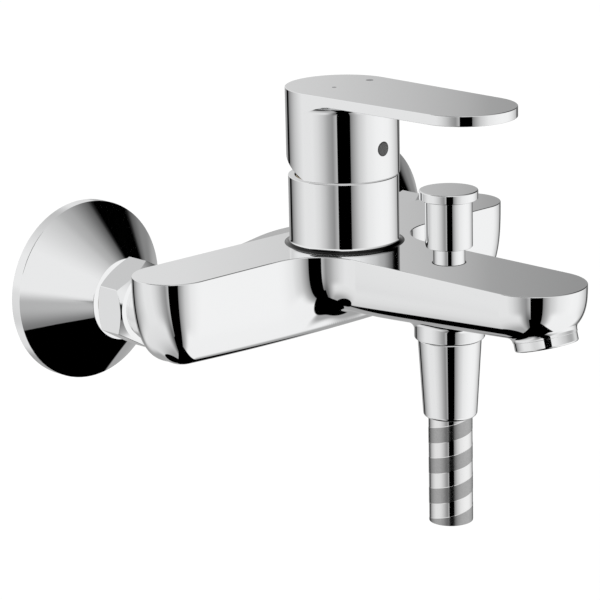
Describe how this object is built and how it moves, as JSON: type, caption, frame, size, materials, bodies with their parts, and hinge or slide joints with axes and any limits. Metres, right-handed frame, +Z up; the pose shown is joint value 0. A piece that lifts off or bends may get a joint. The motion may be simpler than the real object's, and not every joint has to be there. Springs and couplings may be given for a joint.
{
  "type": "wall mounted bath faucet",
  "caption": "Wall mounted bath mixer: long flat bar on two round rosettes, a flat spout with a pull-up diverter and hose outlet, and a single flat lever on a round tower.",
  "frame": {"origin": "on the wall, midway between the two inlets and level with their axes", "axes": "+X to the right as seen by someone facing the wall, -Y out of the wall into the room, +Z up"},
  "size_m": [0.22, 0.2085, 0.164],
  "materials": {
    "polished_chrome": "mirror polished",
    "machined_brass": "machined",
    "stainless_steel": "drawn",
    "white_plastic": "moulded",
    "black_rubber": "matte",
    "white_ceramic": "lapped",
    "grey_plastic": "matte",
    "silver_hose": "smooth jacket with helical bands"
  },
  "bodies": {
    "faucet_base": {"wall_rosette_left": "polished_chrome", "wall_rosette_right": "polished_chrome", "s_union_left": "machined_brass", "s_union_right": "machined_brass", "union_nut_left": "polished_chrome", "union_nut_right": "polished_chrome", "strainer_washer_left": "black_rubber", "strainer_washer_right": "black_rubber", "inlet_nipple_left": "polished_chrome", "inlet_nipple_right": "polished_chrome", "check_valve_housing_left": "white_plastic", "check_valve_housing_right": "white_plastic", "check_valve_spring_left": "stainless_steel", "check_valve_spring_right": "stainless_steel", "body_casting": "polished_chrome", "cartridge_gasket": "black_rubber", "cartridge_base": "white_plastic", "ceramic_disc_fixed": "white_ceramic", "cartridge_housing": "white_plastic", "cartridge_ring_nut": "machined_brass", "temperature_limit_ring": "white_plastic", "tower_trim_ring": "polished_chrome", "diverter_bush": "polished_chrome", "diverter_rod_seal": "black_rubber", "diverter_spring": "stainless_steel", "shower_outlet_nipple": "machined_brass", "hose_washer": "black_rubber", "hose_tail": "machined_brass", "hose_nut": "polished_chrome", "hose_jacket": "silver_hose", "hose_liner": "black_rubber", "aerator_ring": "polished_chrome", "aerator_insert": "white_plastic", "aerator_gasket": "black_rubber"},
    "mixing_rotor": {"cartridge_rotor": "white_plastic", "lever_pivot_pin": "stainless_steel"},
    "lever": {"lever_spindle": "machined_brass", "handle": "polished_chrome", "handle_set_screw": "polished_chrome", "handle_plug": "grey_plastic"},
    "ceramic_slide": {"ceramic_disc_moving": "white_ceramic", "disc_carrier": "white_plastic"},
    "diverter": {"diverter_knob": "polished_chrome", "diverter_rod": "stainless_steel", "diverter_valve_disc": "machined_brass", "diverter_valve_seal": "black_rubber"},
    "check_poppet_left": {"check_valve_poppet_left": "black_rubber"},
    "check_poppet_right": {"check_valve_poppet_right": "black_rubber"}
  },
  "joints": [
    {"name": "temperature_turn", "type": "hinge", "parent": "faucet_base", "child": "mixing_rotor", "pos_m": [0, -0.0705, 0.041], "axis": [0, 0, 1], "range_deg": [-50, 50]},
    {"name": "flow_lift", "type": "hinge", "parent": "mixing_rotor", "child": "lever", "pos_m": [0, -0.0705, 0.041], "axis": [-1, 0, 0], "range_deg": [0, 25]},
    {"name": "disc_slide", "type": "slide", "parent": "mixing_rotor", "child": "ceramic_slide", "axis": [0, -1, 0], "range_m": [0, 0.00516]},
    {"name": "diverter_lift", "type": "slide", "parent": "faucet_base", "child": "diverter", "axis": [0, 0, 1], "range_m": [0, 0.009], "stiffness_N_per_m": 300, "springref_m": -0.006, "deforming": ["diverter_spring"]},
    {"name": "check_open_left", "type": "slide", "parent": "faucet_base", "child": "check_poppet_left", "axis": [0, -1, 0], "range_m": [0, 0.003], "stiffness_N_per_m": 40, "springref_m": -0.004, "deforming": ["check_valve_spring_left"]},
    {"name": "check_open_right", "type": "slide", "parent": "faucet_base", "child": "check_poppet_right", "axis": [0, -1, 0], "range_m": [0, 0.003], "stiffness_N_per_m": 40, "springref_m": -0.004, "deforming": ["check_valve_spring_right"]}
  ],
  "couplings": [
    {"joint": "disc_slide", "follows": "flow_lift", "m_per_rad": 0.011817}
  ]
}
